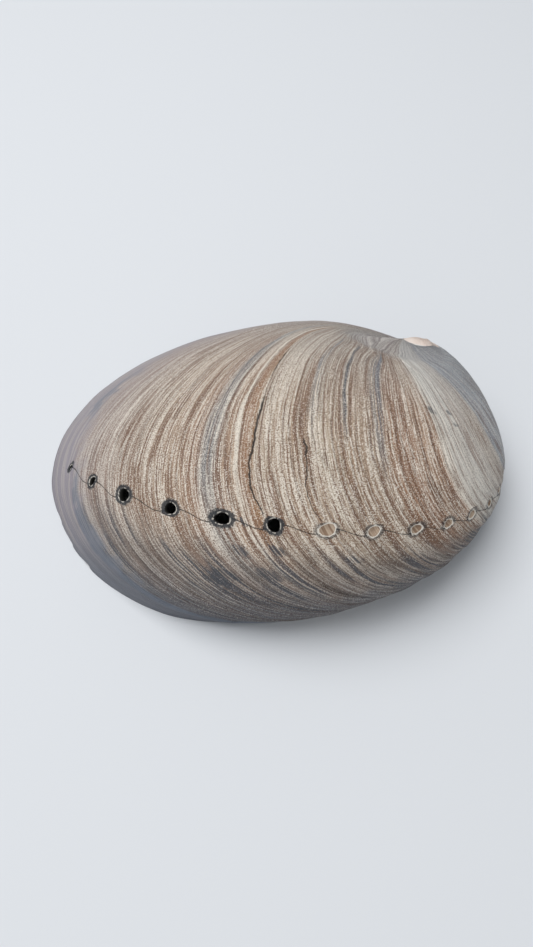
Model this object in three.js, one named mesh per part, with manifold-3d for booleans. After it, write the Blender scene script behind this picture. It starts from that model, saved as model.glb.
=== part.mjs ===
// Abalone shell: one grown piece, a wide low spiral bowl lying on its lip, with a row of pores.
// Millimetres, degrees, +Z up. The front of the shell points to -X and the spire to +X and +Y.
// The pore row runs along the -Y side. Growth angle 0 is the present lip, older shell is negative.
import * as THREE from "three";
import { ConvexGeometry } from "three/addons/geometries/ConvexGeometry.js";
import { mergeVertices } from "three/addons/utils/BufferGeometryUtils.js";
import Module from "manifold-3d";

// Present lip: an oval on the ground, with its own reach to each of its four sides
const LIP_CENTRE = [-10.7, 6.1];
const LIP_FRONT = 55.8;
const LIP_BACK = 75.1;
const LIP_FAR_SIDE = 42.5;
const LIP_PORE_SIDE = 53.0;
const LIP_TURN = 11;
const SHOULDER = { swell: 0.117, at: 65.6, spread: 32.9 };

// The lip runs from where its back end laps onto the older whorl to the columellar edge
const LIP_START = -16;
const LIP_END = 286;
const LAP = { from: 30, turn: 170, at: 202, depth: 0.7 };

// Growth: the lip turns about an axis through the spire and widens by this rate per radian
const SPIRE = new THREE.Vector3(43.1, 21, 31.9);
const AXIS_TILT = 37;
const AXIS_HEADING = -32;
const GROWTH_RATE = 0.379;
const LIP_OVERRUN = 2;
const WHORL_PARTS = 3;

// The earliest whorls are worn and filled solid: a knob over the oldest end of the hollow wall
const OLDEST = -345;
const KNOB_FROM = -330;
const KNOB_TO = -620;
const KNOB_STEP = 25;
const KNOB_COLUMNS = 20;
const KNOB_SWELL = 1.03;

// Wall: thin at the lip, full just behind it and thinner again towards the spire
const WALL = 2.6;
const LIP_THINNING = 0.5;
const LIP_THINNING_ANGLE = 14;
const WALL_SHRINK = 0.6;

// Growth stops: each leaves the older shell standing a little above the newer
const GROWTH_STOPS = [-24, -46, -61.5, -80, -101, -121.5, -150];
const LEDGE_HEIGHT = 0.5;
const LEDGE_HALF_ANGLE = 0.4;

// Pores: how far behind the lip each lies, the six newest open and the older ones filled
const PORE_ANGLES = [-9.8, -19.1, -29, -40.6, -52.2, -63.3, -74.8, -85.4, -96.5, -106.6, -116.6, -126.6];
const OPEN_PORES = 6;
const OLDEST_PORE = -170;
const OLD_PORE_STEP = 10;
const PORE_ROW = { at: 161.5, dip: 10.2, deepest: -74, spread: 44 };
const PORE_WIDTH = 4.8;
const NEW_PORE_WIDTH = 0.8;
const NEW_PORE_RATE = 0.075;
const PORE_STRETCH = 1.15;
const PORE_SIDES = 10;
const FILLED_PORE_DEPTH = 0.7;

// Facets
const LIP_COLUMNS = 30;
const ROW_STEP = 7;
const ROW_STEP_GAIN = 0.03;
const GROUND_SIZE = 400;

const radians = THREE.MathUtils.degToRad;
const heading = radians(AXIS_HEADING);
const tilt = radians(AXIS_TILT);
const AXIS = new THREE.Vector3(
  Math.sin(tilt) * Math.sin(heading),
  -Math.sin(tilt) * Math.cos(heading),
  -Math.cos(tilt),
);

// Bell curve, 1 at the middle
function bell(offset, spread) {
  return Math.exp(-((offset / spread) ** 2));
}

// Point of the plain lip oval, the angle counted from the back end round by the far side
function oval(angle) {
  const cosine = Math.cos(radians(angle));
  const sine = Math.sin(radians(angle));
  const swell = 1 + SHOULDER.swell * bell(angle - SHOULDER.at, SHOULDER.spread);
  const along = cosine * (cosine > 0 ? LIP_BACK : LIP_FRONT) * swell;
  const across = sine * (sine > 0 ? LIP_FAR_SIDE : LIP_PORE_SIDE) * swell;
  const point = new THREE.Vector3(along, across, 0);
  point.applyAxisAngle(new THREE.Vector3(0, 0, 1), radians(LIP_TURN));
  return point.add(new THREE.Vector3(...LIP_CENTRE, 0));
}

// Where a point of the present lip was at an earlier stage of growth
function grow(point, growth) {
  const turned = point.clone().sub(SPIRE).applyAxisAngle(AXIS, radians(growth));
  return turned.multiplyScalar(Math.exp(GROWTH_RATE * radians(growth))).add(SPIRE);
}

// Outward direction of a surface swept by the given lip curve
function outward(curve, growth, angle) {
  const step = 0.01;
  const alongGrowth = grow(curve(angle), growth + step).sub(grow(curve(angle), growth - step));
  const alongLip = grow(curve(angle + step), growth).sub(grow(curve(angle - step), growth));
  return alongGrowth.cross(alongLip).normalize();
}

// The back end of the lip bends to this point, sunk in the wall of the older whorl
const lapNormal = outward(oval, -LAP.turn, LAP.at);
const lapPoint = grow(oval(LAP.at), -LAP.turn).addScaledVector(lapNormal, -LAP.depth);
const lapShift = lapPoint.sub(oval(LIP_START));

// Point of the present lip
function lip(angle) {
  const bend = THREE.MathUtils.smoothstep(-angle, -LAP.from, -LIP_START);
  return oval(angle).addScaledVector(lapShift, bend);
}

// Wall thickness at a growth angle
function wall(growth) {
  const thinning = 1 - LIP_THINNING * Math.exp(growth / LIP_THINNING_ANGLE);
  return WALL * thinning * Math.exp(WALL_SHRINK * GROWTH_RATE * radians(growth));
}

// Height of the ledges: from an older growth stop the surface rises to the next and drops there
function relief(growth) {
  const newer = GROWTH_STOPS.findLast((stop) => stop > growth);
  if (newer === undefined) return 0;
  const older = GROWTH_STOPS.find((stop) => stop <= growth) ?? OLDEST;
  const rise = (growth - older) / (newer - older);
  return LEDGE_HEIGHT * rise * Math.exp(GROWTH_RATE * radians(growth));
}

// Point of the shell, on its outer face or the wall's thickness inside it
function shellPoint(growth, angle, inside) {
  const depth = inside ? wall(growth) : -relief(growth);
  return grow(lip(angle), growth).addScaledVector(outward(lip, growth, angle), -depth);
}

// Growth angles of the facet rows of one stretch, with a pair of rows at each growth stop
function facetRows(newest, oldest) {
  const rows = [newest];
  const stops = GROWTH_STOPS.filter((stop) => stop < newest && stop > oldest);
  for (const stop of [...stops, oldest]) {
    const end = stop === oldest ? oldest : stop + LEDGE_HALF_ANGLE;
    const start = rows[rows.length - 1];
    const count = Math.ceil((start - end) / (ROW_STEP - ROW_STEP_GAIN * start));
    for (let row = 1; row <= count; row += 1) rows.push(start + (end - start) * row / count);
    if (stop !== oldest) rows.push(stop - LEDGE_HALF_ANGLE);
  }
  return rows;
}

const wasm = await Module();
wasm.setup();

// Closed solid from vertex positions and triangles
function solid(positions, triangles) {
  const vertProperties = new Float32Array(positions);
  const triVerts = new Uint32Array(triangles);
  return new wasm.Manifold(new wasm.Mesh({ numProp: 3, vertProperties, triVerts }));
}

// Closed solid from a geometry
function solidFrom(geometry) {
  const bare = geometry.clone();
  bare.deleteAttribute("normal");
  bare.deleteAttribute("uv");
  const merged = mergeVertices(bare);
  return solid(merged.attributes.position.array, merged.index.array);
}

// One stretch of the wall between two growth angles, as a closed solid
function wallStretch(newest, oldest) {
  const rows = facetRows(newest, oldest);
  const columns = LIP_COLUMNS + 1;
  const positions = [];
  const triangles = [];
  for (const inside of [false, true]) {
    for (const growth of rows) {
      for (let column = 0; column < columns; column += 1) {
        const angle = THREE.MathUtils.lerp(LIP_START, LIP_END, column / LIP_COLUMNS);
        positions.push(...shellPoint(growth, angle, inside).toArray());
      }
    }
  }
  const outer = (row, column) => row * columns + column;
  const inner = (row, column) => (rows.length + row) * columns + column;
  const quad = (a, b, c, d) => triangles.push(a, b, c, a, c, d);
  const end = rows.length - 1;
  const edge = LIP_COLUMNS;
  for (let row = 0; row < end; row += 1) {
    const older = row + 1;
    for (let column = 0; column < edge; column += 1) {
      const next = column + 1;
      quad(outer(row, column), outer(row, next), outer(older, next), outer(older, column));
      quad(inner(row, column), inner(older, column), inner(older, next), inner(row, next));
    }
    quad(outer(row, 0), outer(older, 0), inner(older, 0), inner(row, 0));
    quad(outer(row, edge), inner(row, edge), inner(older, edge), outer(older, edge));
  }
  for (let column = 0; column < edge; column += 1) {
    const next = column + 1;
    quad(outer(0, column), inner(0, column), inner(0, next), outer(0, next));
    quad(outer(end, column), outer(end, next), inner(end, next), inner(end, column));
  }
  return solid(positions, triangles);
}

// Margin angle of the pore row at a growth angle
function poreAngle(growth) {
  return PORE_ROW.at - PORE_ROW.dip * bell(growth - PORE_ROW.deepest, PORE_ROW.spread);
}

// Width of a pore: it shrinks with age, and the newest are still opening
function poreWidth(growth) {
  const opening = NEW_PORE_WIDTH - NEW_PORE_RATE * growth;
  return Math.min(opening, PORE_WIDTH * Math.exp(GROWTH_RATE * radians(growth)));
}

// Cutter for one pore, reaching the given depth below the outer face
function poreCutter(growth, depth) {
  const angle = poreAngle(growth);
  const width = poreWidth(growth);
  const normal = outward(lip, growth, angle);
  const growing = grow(lip(angle), growth + 1).sub(grow(lip(angle), growth));
  const ahead = growing.projectOnPlane(normal).normalize();
  const turn = new THREE.Matrix4().makeBasis(ahead, normal, ahead.clone().cross(normal));
  const cutter = new THREE.CylinderGeometry(width / 2, width / 2, 2 * depth, PORE_SIDES);
  cutter.scale(PORE_STRETCH, 1, 1).applyMatrix4(turn);
  const centre = shellPoint(growth, angle, false);
  return solidFrom(cutter.translate(centre.x, centre.y, centre.z));
}

// The worn knob of the spire: the earliest whorls wrapped in one convex solid
function spireKnob() {
  const points = [];
  for (let growth = KNOB_FROM; growth >= KNOB_TO; growth -= KNOB_STEP) {
    for (let column = 0; column <= KNOB_COLUMNS; column += 1) {
      const angle = THREE.MathUtils.lerp(LIP_START, LIP_END, column / KNOB_COLUMNS);
      const point = grow(lip(angle), growth);
      points.push(point.sub(SPIRE).multiplyScalar(KNOB_SWELL).add(SPIRE));
    }
  }
  return solidFrom(new ConvexGeometry(points));
}

// The whole shell, closed at its oldest end by the knob, with its lip cut level
function shellSolid() {
  let shell = spireKnob();
  for (let part = 0; part < WHORL_PARTS; part += 1) {
    const newest = part === 0 ? LIP_OVERRUN : OLDEST * part / WHORL_PARTS;
    shell = shell.add(wallStretch(newest, OLDEST * (part + 1) / WHORL_PARTS));
  }
  const pores = [...PORE_ANGLES];
  while (pores[pores.length - 1] > OLDEST_PORE) pores.push(pores[pores.length - 1] - OLD_PORE_STEP);
  pores.forEach((growth, index) => {
    const depth = index < OPEN_PORES ? 2 * WALL : FILLED_PORE_DEPTH;
    shell = shell.subtract(poreCutter(growth, depth));
  });
  const ground = new THREE.BoxGeometry(GROUND_SIZE, GROUND_SIZE, GROUND_SIZE);
  return shell.subtract(solidFrom(ground.translate(0, 0, -GROUND_SIZE / 2)));
}

// Geometry of a solid, moved so that the middle of its base box is the origin
function geometryOf(shape) {
  const { vertProperties, triVerts } = shape.getMesh();
  const geometry = new THREE.BufferGeometry();
  geometry.setAttribute("position", new THREE.BufferAttribute(vertProperties, 3));
  geometry.setIndex(new THREE.BufferAttribute(triVerts, 1));
  geometry.computeBoundingBox();
  const middle = geometry.boundingBox.getCenter(new THREE.Vector3());
  geometry.translate(-middle.x, -middle.y, -geometry.boundingBox.min.z);
  geometry.computeVertexNormals();
  return geometry;
}

const material = new THREE.MeshStandardMaterial({ color: 0x9b8068, roughness: 0.75, metalness: 0 });
const shell = new THREE.Mesh(geometryOf(shellSolid()), material);
shell.name = "shell";

const abalone = new THREE.Group();
abalone.add(shell);

export default abalone;
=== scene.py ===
# Abalone shell: the grown wall with its growth lines, cracks, pore row and worn spire, pearly inside.
# The shell is worked out in millimetres and degrees, and becomes metres when its mesh is made.
# Age is how far growth has turned since that part of the shell was the lip, in degrees.
# Angle is counted round the lip from the back end (+X) by the far side (+Y) to the pore side (-Y).
import bpy
import numpy as np
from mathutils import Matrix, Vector


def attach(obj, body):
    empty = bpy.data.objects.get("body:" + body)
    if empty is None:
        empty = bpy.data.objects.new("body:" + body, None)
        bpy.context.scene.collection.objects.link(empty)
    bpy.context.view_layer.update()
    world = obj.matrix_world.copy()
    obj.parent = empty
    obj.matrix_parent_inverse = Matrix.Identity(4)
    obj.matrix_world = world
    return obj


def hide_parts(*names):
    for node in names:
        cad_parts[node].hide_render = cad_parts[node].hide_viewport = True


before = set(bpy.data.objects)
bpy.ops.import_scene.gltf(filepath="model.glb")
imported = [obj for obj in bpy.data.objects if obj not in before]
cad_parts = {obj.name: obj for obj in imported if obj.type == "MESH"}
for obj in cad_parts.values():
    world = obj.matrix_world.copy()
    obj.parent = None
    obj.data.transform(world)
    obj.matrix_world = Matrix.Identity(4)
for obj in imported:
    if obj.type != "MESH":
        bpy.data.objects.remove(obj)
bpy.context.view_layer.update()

METRE = 0.001

# Present lip: an oval on the ground, with its own reach to each of its four sides
LIP_CENTRE = (-9.72, 3.69)
LIP_FRONT = 55.8
LIP_BACK = 75.1
LIP_FAR_SIDE = 42.5
LIP_PORE_SIDE = 53.0
LIP_TURN = 11
SHOULDER_SWELL = 0.117
SHOULDER_AT = 65.6
SHOULDER_SPREAD = 32.9

# The lip runs from where its back end laps onto the older whorl to the columellar edge
LIP_START = -16
LIP_END = 286
LAP_FROM = 30
LAP_AGE = 170
LAP_AT = 202
LAP_RISE = 104
LAP_RISE_FROM = 25
LAP_RISE_TO = 120
LAP_DEPTH = 1.0
LAP_THINNING = 28
LAP_EDGE = 0.05

# Growth: the lip turns about an axis through the spire and widens by this rate per radian
SPIRE = np.array((44.08, 18.59, 31.9))
AXIS_TILT = 37
AXIS_HEADING = -32
GROWTH_RATE = 0.379
LIP_SPEED = 69

# Towards the spire the growth lines lag behind the lip's shape, most on the far side
LINE_LAG = 0.0027
LAG_ANGLE = 152
LAG_REACH = 132
LAG_FROM = 65
LAG_TO = 125

# At the seam with the older whorl the growth lines sweep back
SEAM_SWEEP = 0.8
SEAM_SWEEP_FROM = 50
SEAM_SWEEP_TO = 4
SEAM_AGE = 100

# Wall: thin at the lip, full just behind it and thinner again towards the spire
WALL = 2.6
LIP_THINNING = 0.5
LIP_THINNING_AGE = 14
WALL_SHRINK = 0.6

# Growth stops: each leaves the older shell standing a little above the newer
GROWTH_STOPS = (24, 46, 61.5, 80, 101, 121.5, 150, 345)
LEDGE_HEIGHT = 0.5
LEDGE_EDGE = 1

# Relief: height, spacing across the growth lines in mm, length along them in degrees, and seed
RIDGES = (0.10, 2.3, 45, 3)
SWELLS = (0.22, 8, 60, 4)
WRINKLES = (0.28, 2.8, 16, 6)
LUMPS = (0.12, 5, 7, 7)
RELIEF_SHRINK = 0.5
WRINKLED_FLANK = (160, 190)
SEAM_FADE = 12
COLUMELLA_FADE = 10

# The wrinkles waver: shift in mm, spacing along the lines in degrees, length across them in mm, and seed
WRINKLE_WAVER = (0.7, 9, 9, 5)

# Pores, newest first: age, then length along the row and width across it in mm; six are open, the rest filled
PORES = (
    (9.8, 1.3, 2.0), (19.1, 2.5, 2.6), (29, 4.0, 3.3), (40.6, 3.3, 3.0), (52.2, 4.3, 2.8), (63.3, 3.3, 3.3),
    (74.8, 4.2, 3.3), (85.4, 3.6, 2.6), (96.5, 3.8, 2.2), (106.6, 3.1, 2.2), (116.6, 2.9, 2.0),
    (126.6, 2.5, 2.0), (136.6, 2.3, 1.9), (146.6, 2.1, 1.8),
)
OPEN_PORES = 6
FILLED_PORE_TILT = 20
PORE_ROW_AT = 162.1
PORE_ROW_DIP = 10.2
PORE_ROW_DEEPEST = 74
PORE_ROW_SPREAD = 44
PORE_ROW_END = 160
PORE_RAGGED = 0.05
COLLAR_HEIGHT = 0.18
COLLAR_OFFSET = 0.6
COLLAR_SPREAD = 0.9
PLUG_DEPTH = 0.45
PLUG_SLOPE = (0.15, 0.4)
THROAT_DEPTH = 0.5
THROAT_WIDTH = 0.93
THROAT_SHADE = 0.6

# Chips broken out of the lip: where, how wide in degrees, and how far back in degrees of growth
LIP_CHIPS = ((189, 1.6, 1.1), (198, 1.8, 1.1), (207, 2.4, 1.4), (262, 3, 0.4))
LIP_CHIP_AGE = 3

# Cracks, each by points along it: angle, age and how wide it gapes there
CRACK_AGE = 61.5
CRACK_DEPTH = 0.7
CRACK_SPREAD = 0.4
CRACK_WOBBLE = 0.2
CRACK_WOBBLE_RUN = 2.5
CRACK_PULL = 3
LONG_CRACK_SEED = 8
SHORT_CRACK_SEED = 9
LONG_CRACK = (
    (60, 61.4, 0.2), (67, 61.4, 1.3), (79, 61.9, 1.4), (84, 62.2, 0.3), (91, 62.6, 0.3), (94, 62.7, 1.3),
    (119, 61.7, 1.3), (122, 60.8, 0.9), (137, 60.6, 0.8), (147, 62.0, 0.7), (149, 62.0, 0.0),
)
SHORT_CRACK = (
    (106, 76.2, 0.0), (108, 76.0, 1.2), (111, 76.6, 1.6), (113, 76.2, 1.5), (115, 75.9, 0.5),
    (120, 75.6, 0.9), (125, 75.1, 0.7), (128, 74.1, 0.4), (140, 73.5, 0.45), (147, 74.6, 0.3),
    (149, 74.8, 0.0),
)

# Crease in mm: it leaves a pore at its upper edge, dips, and meets the next below its middle
CREASE_DIP = 2.6
CREASE_RISE = 0.5
CREASE_DEPTH = 0.15
CREASE_SPREAD = 0.5
CREASE_OFF_PORE = 0.6
MM_PER_DEGREE = 0.9

# It falls and turns back over these shares of the way between pores, and starts and ends at these ages
CREASE_FALL = (0.2, 0.68)
CREASE_RETURN = (0.68, 0.95)
CREASE_RETURN_SHARE = 0.35
CREASE_STARTS = (8, 10)
CREASE_ENDS = (136, 140)

# The worn spire begins between these ages
WORN_FROM = 285
WORN_TO = 330

# Dark stains: age, angle, and how far each reaches along both, in degrees
STAINS = (
    (132.2, 82.6, 2.5, 3), (141.8, 84.4, 1.5, 2), (139.4, 91.9, 1.5, 2), (56.6, 153.6, 1.2, 3),
    (52.6, 170, 2, 5), (60.8, 167, 2.2, 4), (54.1, 184, 3.5, 5), (43.6, 187.5, 4, 4), (39.8, 192, 3, 4),
    (76, 172, 2.2, 4),
)

# Streaks: age and half width in degrees, angles where each has ended and is full, evenness and colour
GREY_STREAK = "#6b7177"
STREAKS = (
    (50.3, 2.6, 175, 120, 0.56, GREY_STREAK), (77.3, 2.2, 130, 80, 0.56, GREY_STREAK),
    (86, 1.6, 120, 80, 0.56, GREY_STREAK), (96.3, 3.5, 145, 80, 0.56, GREY_STREAK),
    (86.3, 0.8, 112, 84, 0.90, "#454a52"), (97.4, 1.5, 100, 66, 0.90, "#5a626e"),
    (59.6, 2.4, 152, 120, 0.72, "#8a6549"), (57.0, 0.8, 152, 120, 0.80, "#e2dacd"),
)
STREAK_EDGE = 0.14
STREAK_STRENGTH = 0.75

# Mesh: ages where the row spacing changes, with the number of rows up to each
ROW_STRETCHES = ((0, 0), (CRACK_AGE, 102), (160, 164), (330, 106), (620, 52), (840, 12))
COLUMNS = 170
APEX_FROM = 800
APEX_CLOSING = 0.97
RING_ROWS = 4
RING_COLUMNS = 2
FAR_AWAY = 9.0
THINNEST = 0.02

# Even patterns by width in mm; real grains of lime are under 0.1 mm, so the speckle is drawn wider to show
WANDER_MM = 12
BLOTCH_MM = 5
GRIT_MM = 0.9
SPECKLE_MM = 0.3
SWIRL_MM = 18
RIPPLE_MM = 4

# Growth line patterns: width in mm, length in degrees, detail; real threads are finer, drawn wide to show
THREADS = (0.36, 30, 3)
FINE_LINES = (0.8, 70, 2)
RIDGE_LINES = (2.4, 120, 2)
BROAD_BANDS = (6, 60, 1)
PEARL_BANDS = (7, 50, 2)
PEARL_RIPPLES = (3, 40, 1)

# Finish: roughness and gloss of each surface, bumps in mm, and the thin film of the pearly plates in nm
LIME_ROUGHNESS = 0.85
LINE_GLOSS = 0.3
COLUMELLA_GLOSS = 0.4
LINE_BUMP = 0.4
NACRE_ROUGHNESS = 0.24
NACRE_BUMP = 0.5
PLATE_FILM = 380
PLATE_IOR = 1.55
FLOOR_ROUGHNESS = 0.8

# Floor, lamps (name, place in metres, width and power) and studio light
FLOOR_HALF = 4
LAMPS = (("overhead", (-0.25, 0.15, 0.95), 0.8, 9), ("near_side", (-0.3, -0.8, 0.6), 0.8, 1))
STUDIO_LIGHT = 0.4

# Camera of the photograph
CAMERA_TARGET = (-1.952, -9.875, 10.673)
CAMERA_ELEVATION = 60.39
CAMERA_TURN = -3.01
CAMERA_DISTANCE = 230.2
CAMERA_LENS = 20.78
CAMERA_SENSOR = 24
CAMERA_NEAREST = 0.01


# Linear colour from an sRGB hex code
def colour(code):
    channels = [int(code[place:place + 2], 16) / 255 for place in (1, 3, 5)]
    linear = [c / 12.92 if c <= 0.04045 else ((c + 0.055) / 1.055) ** 2.4 for c in channels]
    return (*linear, 1)


# Smooth step from 0 at one value to 1 at the other
def smooth(value, low, high):
    share = np.clip((value - low) / (high - low), 0, 1)
    return share * share * (3 - 2 * share)


# Bell curve, 1 at the middle
def bell(offset, spread):
    return np.exp(-(offset / spread) ** 2)


# Seeded noise between -1 and 1 that changes over about one unit of each coordinate
def noise(x, y, seed):
    size = 256
    table = np.random.default_rng(seed).uniform(-1, 1, (size, size))
    left = np.floor(x).astype(int)
    low = np.floor(y).astype(int)
    across = smooth(x - left, 0, 1)
    up = smooth(y - low, 0, 1)
    bottom = table[left % size, low % size] * (1 - across) + table[(left + 1) % size, low % size] * across
    above = low + 1
    top = table[left % size, above % size] * (1 - across) + table[(left + 1) % size, above % size] * across
    return bottom * (1 - up) + top * up


tilt = np.radians(AXIS_TILT)
heading = np.radians(AXIS_HEADING)
AXIS = np.array((np.sin(tilt) * np.sin(heading), -np.sin(tilt) * np.cos(heading), -np.cos(tilt)))


# Point of the plain lip oval
def oval(angle):
    cosine = np.cos(np.radians(angle))
    sine = np.sin(np.radians(angle))
    swell = 1 + SHOULDER_SWELL * bell(angle - SHOULDER_AT, SHOULDER_SPREAD)
    along = cosine * np.where(cosine > 0, LIP_BACK, LIP_FRONT) * swell
    across = sine * np.where(sine > 0, LIP_FAR_SIDE, LIP_PORE_SIDE) * swell
    turn = np.radians(LIP_TURN)
    x = LIP_CENTRE[0] + along * np.cos(turn) - across * np.sin(turn)
    y = LIP_CENTRE[1] + along * np.sin(turn) + across * np.cos(turn)
    return np.stack((x, y, np.zeros_like(x)), axis=-1)


# Where a point of the present lip was at an earlier age
def grow(point, age):
    turn = np.radians(-np.asarray(age, float))[..., None]
    arm = point - SPIRE
    along_axis = (arm @ AXIS)[..., None] * AXIS
    turned = arm * np.cos(turn) + np.cross(AXIS, arm) * np.sin(turn) + along_axis * (1 - np.cos(turn))
    return SPIRE + turned * np.exp(GROWTH_RATE * turn)


# Outward direction of the surface swept by a lip curve
def outward(curve, age, angle):
    step = 0.01
    along_growth = grow(curve(angle, age - step), age - step) - grow(curve(angle, age + step), age + step)
    along_lip = grow(curve(angle + step, age), age) - grow(curve(angle - step, age), age)
    normal = np.cross(along_growth, along_lip)
    return normal / np.linalg.norm(normal, axis=-1, keepdims=True)


# The plain oval, the same at every age
def plain_lip(angle, age):
    return oval(angle + 0 * age)


# Point of the lip, its back end bent down onto the older whorl
def lip(angle, age):
    lap_angle = LAP_AT - LAP_RISE * smooth(age, LAP_RISE_FROM, LAP_RISE_TO)
    lap_age = LAP_AGE + 0 * lap_angle
    lap_point = grow(oval(lap_angle), lap_age) - LAP_DEPTH * outward(plain_lip, lap_age, lap_angle)
    lap_shift = lap_point - oval(LIP_START + 0 * lap_angle)
    bend = smooth(-angle, -LAP_FROM, -LIP_START)
    return oval(angle + 0 * age) + lap_shift * bend[..., None]


# Point of the smooth spiral
def spiral_point(age, angle):
    return grow(lip(angle, age), age)


# Age of the growth line through a point
def line_age(age, angle):
    lag = LINE_LAG * np.clip(LAG_ANGLE - angle, 0, LAG_REACH) ** 2
    line = age - lag * np.clip((age - LAG_FROM) / (LAG_TO - LAG_FROM), 0, 1)
    sweep = SEAM_SWEEP * smooth(-angle, -SEAM_SWEEP_FROM, -SEAM_SWEEP_TO)
    return line + sweep * np.maximum(SEAM_AGE - line, 0)


# Size of the shell at an age, against its present size
def size_at(age):
    return np.exp(-GROWTH_RATE * np.radians(age))


# Length grown since an age, in millimetres along the dome
def grown_length(age):
    return LIP_SPEED * (1 - size_at(age)) / GROWTH_RATE


# Wall thickness at an age
def wall(age):
    thinning = 1 - LIP_THINNING * np.exp(-age / LIP_THINNING_AGE)
    return WALL * thinning * size_at(age) ** WALL_SHRINK


# Ledges: from an older growth stop the surface rises to the next and drops there
def ledges(age):
    height = np.zeros_like(age)
    for newer, older in zip(GROWTH_STOPS, GROWTH_STOPS[1:]):
        rise = np.where((age > newer) & (age <= older), (older - age) / (older - newer), 0)
        height += rise * smooth(age, newer, newer + LEDGE_EDGE)
    return LEDGE_HEIGHT * height * size_at(age)


# Margin angle of the pore row at an age
def pore_angle(age):
    return PORE_ROW_AT - PORE_ROW_DIP * bell(age - PORE_ROW_DEEPEST, PORE_ROW_SPREAD)


# Height of one kind of relief, from the places across and along it
def raised(kind, across, along):
    height, spacing, length, seed = kind
    return height * noise(across / spacing, along / length, seed)


# Height of the natural surface over the smooth spiral
def relief(age, angle):
    line = grown_length(line_age(age, angle))
    wavering = line + raised(WRINKLE_WAVER, angle, line)
    wrinkles = smooth(angle, *WRINKLED_FLANK) * raised(WRINKLES, wavering, angle)
    evenly = raised(RIDGES, line, angle) + raised(SWELLS, line, angle) + raised(LUMPS, line, angle)
    fade = smooth(angle, LIP_START, LIP_START + SEAM_FADE) * smooth(LIP_END - angle, 0, COLUMELLA_FADE)
    return ledges(age) + fade * size_at(age) ** RELIEF_SHRINK * (evenly + wrinkles)


# Ages of the mesh rows
def mesh_rows():
    rows = [0.0]
    for (start, _), (end, count) in zip(ROW_STRETCHES, ROW_STRETCHES[1:]):
        rows.extend(np.linspace(start, end, count + 1)[1:])
    return np.array(rows)


# The wobble of a crack along its course, in degrees of age
def crack_wobble(angle, seed):
    return CRACK_WOBBLE * noise(angle / CRACK_WOBBLE_RUN, 0 * angle, seed)


# The grid of ages and angles, its rows drawn to the long crack and its edge chipped
rows = mesh_rows()
columns = np.linspace(LIP_START, LIP_END, COLUMNS + 1)
age, angle = np.meshgrid(rows, columns, indexing="ij")
row_index, column_index = np.meshgrid(np.arange(rows.size), np.arange(columns.size), indexing="ij")
bend_angles, bend_ages, _ = np.array(LONG_CRACK).T
crack_bend = np.interp(angle, bend_angles, bend_ages) - CRACK_AGE + crack_wobble(angle, LONG_CRACK_SEED)
age = age + crack_bend * bell(age - CRACK_AGE, CRACK_PULL)
chips = sum(depth * bell(angle - middle, width) for middle, width, depth in LIP_CHIPS)
age = age + chips * np.exp(-age / LIP_CHIP_AGE)

# Pores: the grid round each is drawn into rings that follow its rim
pore_mm = np.full(age.shape, FAR_AWAY)
plug = np.zeros(age.shape)
pore_height = np.zeros(age.shape)
opening = np.zeros(age.shape, bool)
throats = []
for number, (pore_age, pore_length, pore_width) in enumerate(PORES, start=1):
    middle_age = np.array(float(pore_age))
    middle_angle = pore_angle(middle_age)
    row = 2 * round(np.argmin(np.abs(rows - middle_age)) / 2)
    column = 2 * round(np.argmin(np.abs(columns - middle_angle)) / 2)
    normal = outward(lip, middle_age, middle_angle)
    by_age = spiral_point(middle_age + 0.5, middle_angle) - spiral_point(middle_age - 0.5, middle_angle)
    by_angle = spiral_point(middle_age, middle_angle + 0.5) - spiral_point(middle_age, middle_angle - 0.5)
    behind = by_age - normal * (by_age @ normal)
    behind = behind / np.linalg.norm(behind)
    beside = np.cross(normal, behind)
    beside = beside * np.sign(by_angle @ beside)
    to_plane = np.array(((by_age @ behind, by_angle @ behind), (by_age @ beside, by_angle @ beside)))
    from_plane = np.linalg.inv(to_plane)
    near = (np.abs(row_index - row) < 2 * RING_ROWS) & (np.abs(column_index - column) < 2 * RING_COLUMNS)
    across_rows = (row_index[near] - row) / RING_ROWS
    across_columns = (column_index[near] - column) / RING_COLUMNS
    ring = np.maximum(np.abs(across_rows), np.abs(across_columns))
    reach = np.maximum(np.hypot(across_rows, across_columns), 1e-6)
    bearing = np.arctan2(across_columns, across_rows)
    radius = pore_width / 2
    stretch = pore_length / pore_width
    ragged = 1 + PORE_RAGGED * (np.sin(2 * bearing + 2 * number) + np.sin(3 * bearing + 5 * number))
    on_ring = ring * radius * ragged / reach
    lean = np.radians(FILLED_PORE_TILT if number > OPEN_PORES else 0)
    turned = np.array(((np.cos(lean), np.sin(lean)), (-np.sin(lean), np.cos(lean))))
    round_place = turned @ np.stack((on_ring * stretch * across_rows, on_ring * across_columns))
    grid_place = to_plane @ np.stack((age[near] - middle_age, angle[near] - middle_angle))
    share = smooth(ring, 1, 2)
    ring_place = round_place * (1 - share) + grid_place * share
    change = from_plane @ ring_place
    age[near] = middle_age + change[0]
    angle[near] = middle_angle + change[1]
    straight = turned.T @ ring_place
    from_edge = np.hypot(straight[0] / stretch, straight[1]) - radius * ragged
    pore_mm[near] = from_edge
    collar = COLLAR_HEIGHT * bell(from_edge - COLLAR_OFFSET, COLLAR_SPREAD)
    if number > OPEN_PORES:
        plug[near] = 1
        pit = -PLUG_DEPTH * smooth(-from_edge / radius, *PLUG_SLOPE)
        pore_height[near] = collar + np.where(from_edge < 0, pit, 0)
    else:
        pore_height[near] = collar
        opening[near] |= ring <= 1
        throats.append((row, column, float(middle_age), float(middle_angle)))


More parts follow.
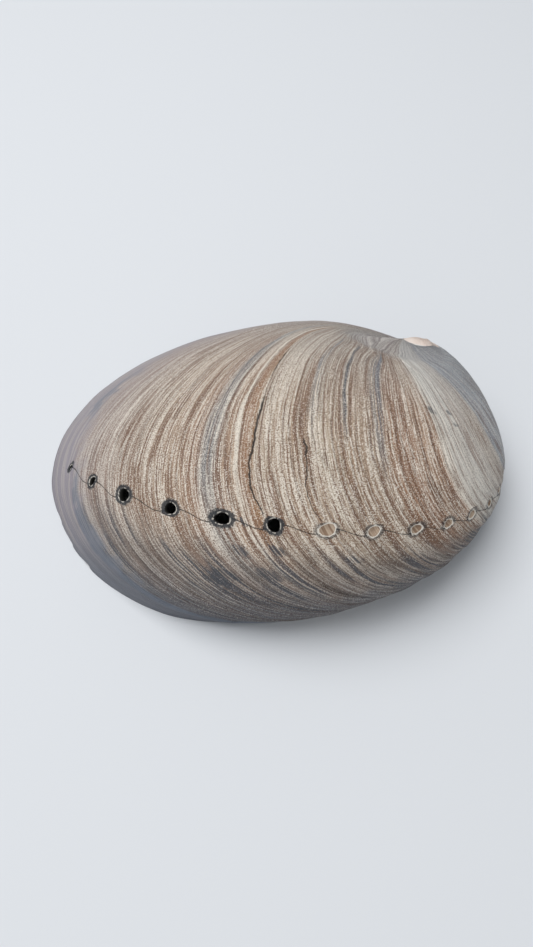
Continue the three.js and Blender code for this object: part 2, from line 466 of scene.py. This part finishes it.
# Distance from a crack in widths of its gape, with the bends and the wobble of its course
def crack_offset(course, seed):
    angles, ages, widths = np.array(course).T
    middle = np.interp(angle, angles, ages) + crack_wobble(angle, seed)
    width = np.interp(angle, angles, widths, left=0, right=0)
    off = (age - middle) * np.radians(LIP_SPEED) * size_at(middle)
    return np.clip(off / np.maximum(width, THINNEST), -FAR_AWAY, FAR_AWAY)


crack_off = crack_offset(LONG_CRACK, LONG_CRACK_SEED)
short_crack_off = crack_offset(SHORT_CRACK, SHORT_CRACK_SEED)

# Signed distance from the crease that links the pores
pore_ages = np.array((0.0, *[pore[0] for pore in PORES], PORE_ROW_END))
newer = np.clip(np.searchsorted(pore_ages, age) - 1, 0, pore_ages.size - 2)
between = np.clip((age - pore_ages[newer]) / (pore_ages[newer + 1] - pore_ages[newer]), 0, 1)
fall = smooth(between, *CREASE_FALL) - CREASE_RETURN_SHARE * smooth(between, *CREASE_RETURN)
crease_dip = (CREASE_DIP * fall - CREASE_RISE) * size_at(age) ** RELIEF_SHRINK
crease_mm = (angle - pore_angle(age)) * MM_PER_DEGREE * size_at(age) - crease_dip
crease_width = smooth(age, *CREASE_STARTS) * (1 - smooth(age, *CREASE_ENDS))
crease_mm = np.clip(crease_mm / np.maximum(crease_width, THINNEST), -FAR_AWAY, FAR_AWAY)

# How worn and how stained the outside is
wear = smooth(age, WORN_FROM, WORN_TO)
stain = np.zeros(age.shape)
for middle_age, middle_angle, age_reach, angle_reach in STAINS:
    from_middle = np.hypot((age - middle_age) / age_reach, (angle - middle_angle) / angle_reach)
    stain = np.maximum(stain, bell(from_middle, 1))

# The outer and inner faces of the wall, thin where the lip laps on and drawn together at the apex
normals = outward(lip, age, angle)
spiral = spiral_point(age, angle)
groove = CRACK_DEPTH * bell(crack_off, CRACK_SPREAD)
crease = CREASE_DEPTH * bell(crease_mm, CREASE_SPREAD) * smooth(pore_mm, 0, CREASE_OFF_PORE)
height = relief(age, angle) + pore_height * size_at(age) ** RELIEF_SHRINK - groove - crease
outer_points = spiral + normals * height[..., None]
lap_share = LAP_EDGE + (1 - LAP_EDGE) * smooth(angle, LIP_START, LIP_START + LAP_THINNING)
inner_points = spiral - normals * (wall(age) * lap_share)[..., None]
apex = outer_points[-1].mean(axis=0)
closing = APEX_CLOSING * smooth(age, APEX_FROM, ROW_STRETCHES[-1][0])[..., None]
outer_points = outer_points * (1 - closing) + apex * closing
inner_points = (inner_points * (1 - closing) + apex * closing)[::2, ::2]
inner_rows, inner_columns = inner_points.shape[:2]
outer_count = age.size
outer = np.arange(outer_count).reshape(age.shape)
inner = outer_count + np.arange(inner_rows * inner_columns).reshape(inner_rows, inner_columns)

points = [outer_points.reshape(-1, 3), inner_points.reshape(-1, 3)]
fields = {
    "line_age": line_age(age, angle),
    "line_mm": grown_length(line_age(age, angle)),
    "around": angle,
    "pore_mm": pore_mm,
    "plug": plug,
    "crack_off": crack_off,
    "short_crack_off": short_crack_off,
    "crease_mm": crease_mm,
    "wear": wear,
    "stain": stain,
}
values = {name: [field.ravel(), field[::2, ::2].ravel()] for name, field in fields.items()}

OUTSIDE = 0
PEARL = 1
faces = []
face_materials = []


# Keep a batch of faces with their material
def keep(batch, material):
    faces.extend(np.asarray(batch).reshape(len(batch), -1).tolist())
    face_materials.extend([material] * len(batch))


# The corners of each cell of a grid, going round it
def cells(grid, forward):
    corners = (grid[:-1, :-1], grid[:-1, 1:], grid[1:, 1:], grid[1:, :-1])
    loop = corners if forward else corners[::-1]
    return np.stack([corner.ravel() for corner in loop], axis=1)


# Cells that lie inside an open pore
def pierced(inside):
    return cells(inside, True).all(axis=1)


# Faces between an edge of the outer face and the half as fine edge of the inner face
def edge_faces(fine, coarse):
    return np.stack((fine[:-2:2], fine[1:-1:2], fine[2::2], coarse[1:], coarse[:-1]), axis=1)


keep(cells(outer, True)[~pierced(opening)], OUTSIDE)
keep(cells(inner, False)[~pierced(opening[::2, ::2])], PEARL)
keep(edge_faces(outer[0, ::-1], inner[0, ::-1]), PEARL)
keep(edge_faces(outer[-1], inner[-1]), OUTSIDE)
keep(edge_faces(outer[:, 0], inner[:, 0]), OUTSIDE)
keep(edge_faces(outer[::-1, -1], inner[::-1, -1]), PEARL)

# Walls of the open pores: a narrow throat below the rim, then down to the inner face, painted black as shade
# down the hole
across = np.arange(-RING_COLUMNS, RING_COLUMNS)
down = np.arange(-RING_ROWS, RING_ROWS)
ring_down = np.concatenate((0 * across - RING_ROWS, down, 0 * across + RING_ROWS, -down))
ring_across = np.concatenate((across, 0 * down + RING_COLUMNS, -across, 0 * down - RING_COLUMNS))
following = np.roll(np.arange(ring_down.size), -1)
vertex_count = outer_count + inner.size
for row, column, middle_age, middle_angle in throats:
    ring_rows = row + ring_down
    ring_columns = column + ring_across
    throat_age = middle_age + THROAT_WIDTH * (age[ring_rows, ring_columns] - middle_age)
    throat_angle = middle_angle + THROAT_WIDTH * (angle[ring_rows, ring_columns] - middle_angle)
    throat_normals = outward(lip, throat_age, throat_angle)
    points.append(spiral_point(throat_age, throat_angle) - THROAT_DEPTH * throat_normals)
    # The throat's pore_mm is lowered so that it takes the black painted shade
    for name, field in fields.items():
        values[name].append(field[ring_rows, ring_columns] - (THROAT_SHADE if name == "pore_mm" else 0))
    throat = vertex_count + np.arange(ring_rows.size)
    vertex_count += ring_rows.size
    rim = outer[ring_rows, ring_columns]
    foot = inner[ring_rows // 2, ring_columns // 2][::2]
    keep(np.stack((rim, rim[following], throat[following], throat), axis=1), OUTSIDE)
    keep(edge_faces(np.append(throat, throat[0]), np.append(foot, foot[0])), OUTSIDE)

# The shell's mesh, with the fields that its materials read
coordinates = np.concatenate(points)
coordinates[:, 2] = np.maximum(coordinates[:, 2], 0)
mesh = bpy.data.meshes.new("abalone_shell")
mesh.from_pydata((coordinates * METRE).tolist(), [], faces)
mesh.polygons.foreach_set("material_index", face_materials)
mesh.polygons.foreach_set("use_smooth", [True] * len(faces))
for name, parts in values.items():
    attribute = mesh.attributes.new(name, "FLOAT", "POINT")
    attribute.data.foreach_set("value", np.concatenate(parts).astype(np.float32))
mesh.update()
shell = bpy.data.objects.new("abalone_shell", mesh)
bpy.context.collection.objects.link(shell)

# Settings that many nodes share: the sum a node does, a soft step between two limits, a blend of two colours
PLUS = {"operation": "ADD"}
MINUS = {"operation": "SUBTRACT"}
TIMES = {"operation": "MULTIPLY"}
TIMES_PLUS = {"operation": "MULTIPLY_ADD"}
OVER = {"operation": "DIVIDE"}
HIGHER = {"operation": "MAXIMUM"}
UNSIGNED = {"operation": "ABSOLUTE"}
SOFT = {"interpolation_type": "SMOOTHSTEP"}
BLEND = {"data_type": "RGBA", "output": 2}

# Angles round the lip where a change of the outside begins and where it is full
TOP = (100, 55)
FLANK = (158, 188)
LOW_FLANK = (186, 218)
SLATE_FLANK = (152, 185)
SEAM = (46, 24)
STREAKS_START = (38, 50)
LIP_FAR_END = (170, 110)
LIP_SLATE_AND_SHADE = (178, 212)
LIP_BORDER = (95, 135)
COLUMELLA = (256, 268)

# Ages between which the growth lines come in and fade, and where the newest shell ends
LINES_START = (0, 26)
LINES_FADE = (117, 121)
LIP_ZONE = (18, 9)
LIP_NARROWING = 8
LIP_BORDER_AGE = 13
LIP_BORDER_REACH = 5
OLDEST_ZONE = 160


# Add a node with its settings, its colour stops, and its inputs, each a value or a socket to link
def add(kind, inputs=(), output=0, stops=(), **settings):
    node = tree.nodes.new("ShaderNode" + kind)
    for name, value in settings.items():
        setattr(node, name, value)
    for number, (position, code) in enumerate(stops):
        elements = node.color_ramp.elements
        element = elements[number] if number < 2 else elements.new(position)
        element.position = position
        element.color = colour(code)
    pairs = inputs.items() if isinstance(inputs, dict) else enumerate(inputs)
    for key, value in pairs:
        if isinstance(value, bpy.types.NodeSocket):
            tree.links.new(value, node.inputs[key])
        else:
            node.inputs[key].default_value = value
    return node.outputs[output]


# New node material and its surface shader
def surface_material(name):
    made = bpy.data.materials.new(name)
    made.use_nodes = True
    return made.node_tree, made.node_tree.nodes["Principled BSDF"], made


# Streaks drawn out along the growth lines: width across a line in mm, length along it in degrees
def streaks(width, length, detail):
    across_lines = add("Math", (line_wavy, width), **OVER)
    along_lines = add("Math", (around_at, length), **OVER)
    vector = add("CombineXYZ", (across_lines, along_lines))
    inputs = {"Vector": vector, "Scale": 1, "Detail": detail, "Roughness": 0.55}
    return add("TexNoise", inputs, noise_dimensions="2D")


# A value shifted both ways by a mottling
def shifted(value, by, amount):
    return add("Math", (add("Math", (by, 0.5), **MINUS), amount, value), **TIMES_PLUS)


# Share of a thin line drawn where a value passes a level
def contour(value, level, reach, top=1.0):
    off = add("Math", (add("Math", (value, level), **MINUS),), **UNSIGNED)
    return add("MapRange", (off, reach, reach / 3, 0, top), **SOFT)


# One colour laid over another, as strong as its shares multiplied
def coat(below, above, *shares):
    strength = shares[0]
    for share in shares[1:]:
        strength = add("Math", (strength, share), **TIMES)
    return add("Mix", {0: strength, 6: below, 7: above}, **BLEND)


# Weathered shell lime, grown layer on layer and bleached: dull, rough to the eye, with stained growth lines
tree, shader, outside = surface_material("weathered_shell_layer")
age_at, line_at, around_at, pore_at, plug_at, crack_at, short_at, crease_at, wear_at, stain_at = [
    add("Attribute", output="Fac", attribute_name=name) for name in fields
]
place = add("TexCoord", output="Object")
wander = add("TexNoise", {"Vector": place, "Scale": 1 / (WANDER_MM * METRE), "Detail": 2})
blotch = add("TexNoise", {"Vector": place, "Scale": 1 / (BLOTCH_MM * METRE), "Detail": 3})
grit = add("TexNoise", {"Vector": place, "Scale": 1 / (GRIT_MM * METRE), "Detail": 2})
speckle = add("TexNoise", {"Vector": place, "Scale": 1 / (SPECKLE_MM * METRE), "Detail": 2})
line_wavy = shifted(line_at, wander, 0.8)
age_wavy = shifted(age_at, wander, 3.0)
thread = streaks(*THREADS)
fine = streaks(*FINE_LINES)
ridge = streaks(*RIDGE_LINES)
broad = streaks(*BROAD_BANDS)
lines = add("Math", (thread, 0.45), **TIMES)
lines = add("Math", (fine, 0.35, lines), **TIMES_PLUS)
lines = add("Math", (ridge, 0.2, lines), **TIMES_PLUS)

# Colour zones by age, from the tan behind the lip to the slate near the spire; greyer over the top, partly
# the shell's own grey and partly painted shade and painted blue reflection
zone_at = add("Math", (age_wavy, OLDEST_ZONE), **OVER)
zone = add("ValToRGB", (zone_at,), stops=(
    (0.000, "#a69b98"), (1.000, "#9ca2aa"), (0.080, "#a49894"), (0.140, "#a4958b"), (0.200, "#a18e7d"),
    (0.270, "#9f8772"), (0.295, "#997963"), (0.310, "#a7a19a"), (0.328, "#a59e96"), (0.340, "#a88f79"),
    (0.352, "#a88f79"), (0.358, "#d4cabb"), (0.366, "#9c7b61"), (0.383, "#957251"), (0.388, "#b5a594"),
    (0.420, "#a79481"), (0.470, "#a38c76"), (0.500, "#ac9d8b"), (0.530, "#99816a"), (0.590, "#9b8774"),
    (0.620, "#937259"), (0.655, "#937059"), (0.690, "#ad937e"), (0.728, "#9c7b63"), (0.738, "#dfd7cb"),
    (0.760, "#cac5bd"), (0.830, "#c8c4be"), (0.890, "#b2a89f"), (0.925, "#b0a79f"), (0.940, "#959ca5"),
))
# Greyer colours for the top of the dome: partly painted shade and painted blue reflection
top_grey_and_painted_shade = add("ValToRGB", (zone_at,), stops=(
    (0.00, "#a09ea2"), (1.00, "#8d9399"), (0.10, "#989499"), (0.22, "#8e8888"), (0.29, "#a8a29c"),
    (0.44, "#aca7a1"), (0.50, "#948e89"), (0.62, "#89827d"), (0.70, "#a39a91"), (0.74, "#c2c0bc"),
    (0.88, "#b6b5b3"), (0.94, "#9298a0"),
))
on_flank = add("MapRange", (around_at, *FLANK), **SOFT)
# Low flank: dark blue slate, partly the shell's own slate and partly painted shade and painted blue
# reflection near the ground
low_flank_slate_and_shade = add("MapRange", (shifted(around_at, blotch, 30), *LOW_FLANK, 0, 0.85), **SOFT)
tint = coat(zone, top_grey_and_painted_shade, add("MapRange", (around_at, *TOP, 0, 0.65), **SOFT))
tint = coat(tint, colour("#847d79"), on_flank, 0.7)
tint = coat(tint, colour("#4b5664"), low_flank_slate_and_shade)

# How strongly the growth lines show, and how strongly the pale and brown ones do
line_strength = add("MapRange", (age_wavy, *LINES_START), **SOFT)
for limits in ((age_wavy, *LINES_FADE, 1, 0.65), (around_at, *TOP, 1, 0.6)):
    line_strength = add("Math", (line_strength, add("MapRange", limits, **SOFT)), **TIMES)
off_flank = add("MapRange", (around_at, *FLANK, 1, 0.4), **SOFT)
soft_strength = add("Math", (line_strength, off_flank), **TIMES)

# Growth lines: brown threads and beaded cream threads, and thin dark lines of painted shade along the wrinkle
# ridges, stronger down the flank
brown_threads = add("MapRange", (lines, 0.51, 0.43, 0, 0.88), **SOFT)
tint = coat(tint, colour("#6e4f3c"), brown_threads, soft_strength)
cream_threads = add("MapRange", (lines, 0.525, 0.59, 0, 0.8), **SOFT)
cream_threads = add("Math", (cream_threads, contour(fine, 0.53, 0.045, 0.8)), **HIGHER)
beads = add("MapRange", (speckle, 0.36, 0.54), **SOFT)
tint = coat(tint, colour("#e0d8cc"), cream_threads, beads, soft_strength)
more_on_flank = add("MapRange", (around_at, *FLANK, 0.4, 1), **SOFT)
wide_wrinkle_shade = add("Math", (contour(ridge, 0.47, 0.04, 0.75), more_on_flank), **TIMES)
fine_wrinkle_shade = add("Math", (contour(fine, 0.47, 0.05, 0.7), on_flank), **TIMES)
wrinkles = add("Math", (wide_wrinkle_shade, fine_wrinkle_shade), **HIGHER)
# Painted shade along the wrinkle ridges
tint = coat(tint, colour("#4a3d35"), wrinkles, line_strength)

# Slate patches on the flank
in_lines = add("MapRange", (fine, 0.53, 0.43), **SOFT)
in_patches = add("MapRange", (broad, 0.46, 0.58), **SOFT)
on_slate_flank = add("MapRange", (around_at, *SLATE_FLANK, 0, 0.8), **SOFT)
tint = coat(tint, colour("#3a424d"), in_lines, in_patches, on_slate_flank)

# Single streaks along the growth lines
past_seam = add("MapRange", (around_at, *STREAKS_START), **SOFT)
for middle_age, reach, last, first, even, code in STREAKS:
    off = add("Math", (add("Math", (age_wavy, middle_age), **MINUS),), **UNSIGNED)
    in_streak = add("MapRange", (off, reach, 0), **SOFT)
    in_threads = add("MapRange", (thread, even, even - STREAK_EDGE), **SOFT)
    before_end = add("MapRange", (around_at, last, first, 0, STREAK_STRENGTH), **SOFT)
    tint = coat(tint, colour(code), in_streak, in_threads, past_seam, before_end)

# Grey shell along the seam
seam_tint = coat(colour("#84868b"), colour("#aba9a9"), add("MapRange", (lines, 0.44, 0.56), **SOFT))
at_seam = add("MapRange", (shifted(around_at, blotch, 16), *SEAM, 0, 0.5), **SOFT)
tint = coat(tint, seam_tint, at_seam)

# Pale grains, dark pits and stains
grains = add("MapRange", (speckle, 0.55, 0.66, 0, 0.7), **SOFT)
tint = coat(tint, colour("#e3dbd0"), grains, soft_strength)
pits = add("MapRange", (speckle, 0.44, 0.32, 0, 0.75), **SOFT)
tint = coat(tint, colour("#574235"), pits, line_strength)
stained = add("MapRange", (shifted(stain_at, grit, 0.9), 0.35, 0.75, 0, 0.8), **SOFT)
tint = coat(tint, colour("#3b4149"), stained, add("MapRange", (thread, 0.62, 0.45), **SOFT))

# Newest shell along the lip, smooth and mauve grey, darker blue slate low on the flank, partly painted shade
# and painted blue reflection; its inner border broken by slate streaks
narrower = add("MapRange", (around_at, *LIP_FAR_END, 0, LIP_NARROWING), **SOFT)
lip_age = shifted(add("Math", (age_wavy, narrower), **PLUS), blotch, 14)
lip_tint = coat(colour("#8f8a92"), colour("#a39c9d"), add("MapRange", (fine, 0.40, 0.60), **SOFT))
# Low on the flank the lip turns blue slate: partly painted shade and painted blue reflection
lip_tint = coat(lip_tint, colour("#646b75"), add("MapRange", (around_at, *LIP_SLATE_AND_SHADE, 0, 0.75), **SOFT))
tint = coat(tint, lip_tint, add("MapRange", (lip_age, *LIP_ZONE, 0, 0.9), **SOFT))
border = contour(lip_age, LIP_BORDER_AGE, LIP_BORDER_REACH, 0.55)
broken = add("MapRange", (broad, 0.45, 0.60), **SOFT)
tint = coat(tint, colour("#6a7482"), border, broken, add("MapRange", (around_at, *LIP_BORDER), **SOFT))

# Worn spire, chalky
chalk = coat(colour("#cfbcb0"), colour("#e6d8ce"), add("MapRange", (blotch, 0.35, 0.65), **SOFT))
tint = coat(tint, chalk, add("MapRange", (shifted(wear_at, blotch, 1.4), 0.3, 0.7), **SOFT))

# Cracks and the crease of the pore row, darkened with painted shade in their gaps: unevenness, half width in
# mm and depth of their dark line
CRACK_AND_CREASE_SHADE = ((crack_at, 0.4, 0.34, 0.96), (short_at, 0.4, 0.28, 0.94), (crease_at, 0.35, 0.30, 0.9))
for off_at, uneven, reach, depth in CRACK_AND_CREASE_SHADE:
    width = shifted(add("Math", (off_at,), **UNSIGNED), grit, uneven)
    # Painted shade down the cracks and the crease
    tint = coat(tint, colour("#241d18"), add("MapRange", (width, reach, reach / 4, 0, depth), **SOFT))

# Pores: a ragged border of painted shade round the rim, a pale chipped rim and a throat painted black as
# shade, or a pale ring round a filled floor
# Painted shade round each pore's rim, softer round the filled ones
pore_shade_at = add("Math", (plug_at, 0.3, shifted(shifted(pore_at, grit, 1.0), speckle, 0.7)), **TIMES_PLUS)
border = add("MapRange", (pore_shade_at, 1.35, 0.65, 0, 0.93), **SOFT)
tint = coat(tint, colour("#1f242a"), border, add("Math", (plug_at, -0.3, 1.0), **TIMES_PLUS))
rim_inside = add("MapRange", (pore_at, -0.22, -0.10), **SOFT)
rim_outside = add("MapRange", (pore_at, 0.30, 0.16, 0, 0.9), **SOFT)
tint = coat(tint, colour("#cfc9bf"), rim_inside, rim_outside, add("MapRange", (grit, 0.46, 0.56), **SOFT))
# Painted shade: black down the open holes
tint = coat(tint, colour("#15130f"), add("MapRange", (pore_at, -0.10, -0.22, 0, 0.97), **SOFT))
plug_tint = coat(colour("#846c58"), colour("#ae9a86"), add("MapRange", (lines, 0.45, 0.55), **SOFT))
plug_tint = coat(plug_tint, colour("#d9d3c9"), add("MapRange", (pore_at, -0.22, -0.12), **SOFT))
tint = coat(tint, plug_tint, plug_at, add("MapRange", (pore_at, 0.04, -0.04), **SOFT))

# The outer layer ends at the columellar edge, which is pearly and smoother
at_columella = add("MapRange", (around_at, *COLUMELLA), **SOFT)
tint = coat(tint, colour("#d3cdc6"), at_columella)
rough = add("Math", (lines, -LINE_GLOSS, LIME_ROUGHNESS), **TIMES_PLUS)
rough = add("Math", (at_columella, -COLUMELLA_GLOSS, rough), **TIMES_PLUS)
bump_height = add("Math", (fine, 1.2, thread), **TIMES_PLUS)
bump_height = add("Math", (speckle, 0.5, bump_height), **TIMES_PLUS)
bump = add("Bump", {"Height": bump_height, "Strength": 0.8, "Distance": LINE_BUMP * METRE})
for socket, value in (("Base Color", tint), ("Roughness", rough), ("Normal", bump)):
    tree.links.new(value, shader.inputs[socket])

# Nacre, laid down as thin pearly plates: it shines, and its colour shifts softly from rose to green
tree, shader, pearl = surface_material("nacre")
place = add("TexCoord", output="Object")
line_at = add("Attribute", output="Fac", attribute_name="line_mm")
around_at = add("Attribute", output="Fac", attribute_name="around")
swirl = add("TexNoise", {"Vector": place, "Scale": 1 / (SWIRL_MM * METRE), "Detail": 2})
line_wavy = shifted(line_at, swirl, 14)
pastel = add("ValToRGB", (streaks(*PEARL_BANDS),), stops=(
    (0.25, "#d6d4d1"), (0.75, "#d8d6d3"), (0.38, "#dacfd1"), (0.47, "#d9d7d3"), (0.55, "#ccd7d2"),
    (0.64, "#dad6cc"),
))
ripple = add("TexNoise", {"Vector": place, "Scale": 1 / (RIPPLE_MM * METRE), "Detail": 2})
ripple = add("Math", (ripple, 0.8, streaks(*PEARL_RIPPLES)), **TIMES_PLUS)
ripples = add("Bump", {"Height": ripple, "Strength": 0.25, "Distance": NACRE_BUMP * METRE})
tree.links.new(pastel, shader.inputs["Base Color"])
tree.links.new(ripples, shader.inputs["Normal"])
shader.inputs["Roughness"].default_value = NACRE_ROUGHNESS
shader.inputs["Thin Film Thickness"].default_value = PLATE_FILM
shader.inputs["Thin Film IOR"].default_value = PLATE_IOR

mesh.materials.append(outside)
mesh.materials.append(pearl)
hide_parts("shell")
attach(shell, "root")

# Floor of matt paint, rolled on evenly: pale, with no gloss
corners = [(x * FLOOR_HALF, y * FLOOR_HALF, 0) for x, y in ((-1, -1), (1, -1), (1, 1), (-1, 1))]
floor_mesh = bpy.data.meshes.new("floor")
floor_mesh.from_pydata(corners, [], [(0, 1, 2, 3)])
floor = bpy.data.objects.new("floor", floor_mesh)
bpy.context.collection.objects.link(floor)
_, shader, floor_paint = surface_material("pale_floor")
shader.inputs["Base Color"].default_value = colour("#d5d8dc")
shader.inputs["Roughness"].default_value = FLOOR_ROUGHNESS
floor_mesh.materials.append(floor_paint)

# Soft square lamps aimed at the shell, and even light from all round
for name, lamp_place, width, power in LAMPS:
    light = bpy.data.lights.new(name, "AREA")
    light.size = width
    light.energy = power
    lamp = bpy.data.objects.new(name, light)
    lamp.location = lamp_place
    lamp.rotation_euler = (-Vector(lamp_place)).to_track_quat("-Z", "Y").to_euler()
    bpy.context.collection.objects.link(lamp)
world = bpy.data.worlds.new("studio")
world.use_nodes = True
world.node_tree.nodes["Background"].inputs["Color"].default_value = colour("#e8ebee")
world.node_tree.nodes["Background"].inputs["Strength"].default_value = STUDIO_LIGHT
bpy.context.scene.world = world
bpy.context.scene.view_settings.view_transform = "Standard"

# Camera at the photograph's angle
elevation = np.radians(CAMERA_ELEVATION)
turn = np.radians(CAMERA_TURN)
backward = Vector((np.sin(turn) * np.cos(elevation), -np.cos(turn) * np.cos(elevation), np.sin(elevation)))
lens = bpy.data.cameras.new("camera")
lens.sensor_fit = "VERTICAL"
lens.sensor_height = CAMERA_SENSOR
lens.lens = CAMERA_LENS
lens.clip_start = CAMERA_NEAREST
camera = bpy.data.objects.new("camera", lens)
camera.location = (Vector(CAMERA_TARGET) + CAMERA_DISTANCE * backward) * METRE
camera.rotation_euler = backward.to_track_quat("Z", "Y").to_euler()
bpy.context.collection.objects.link(camera)
bpy.context.scene.camera = camera
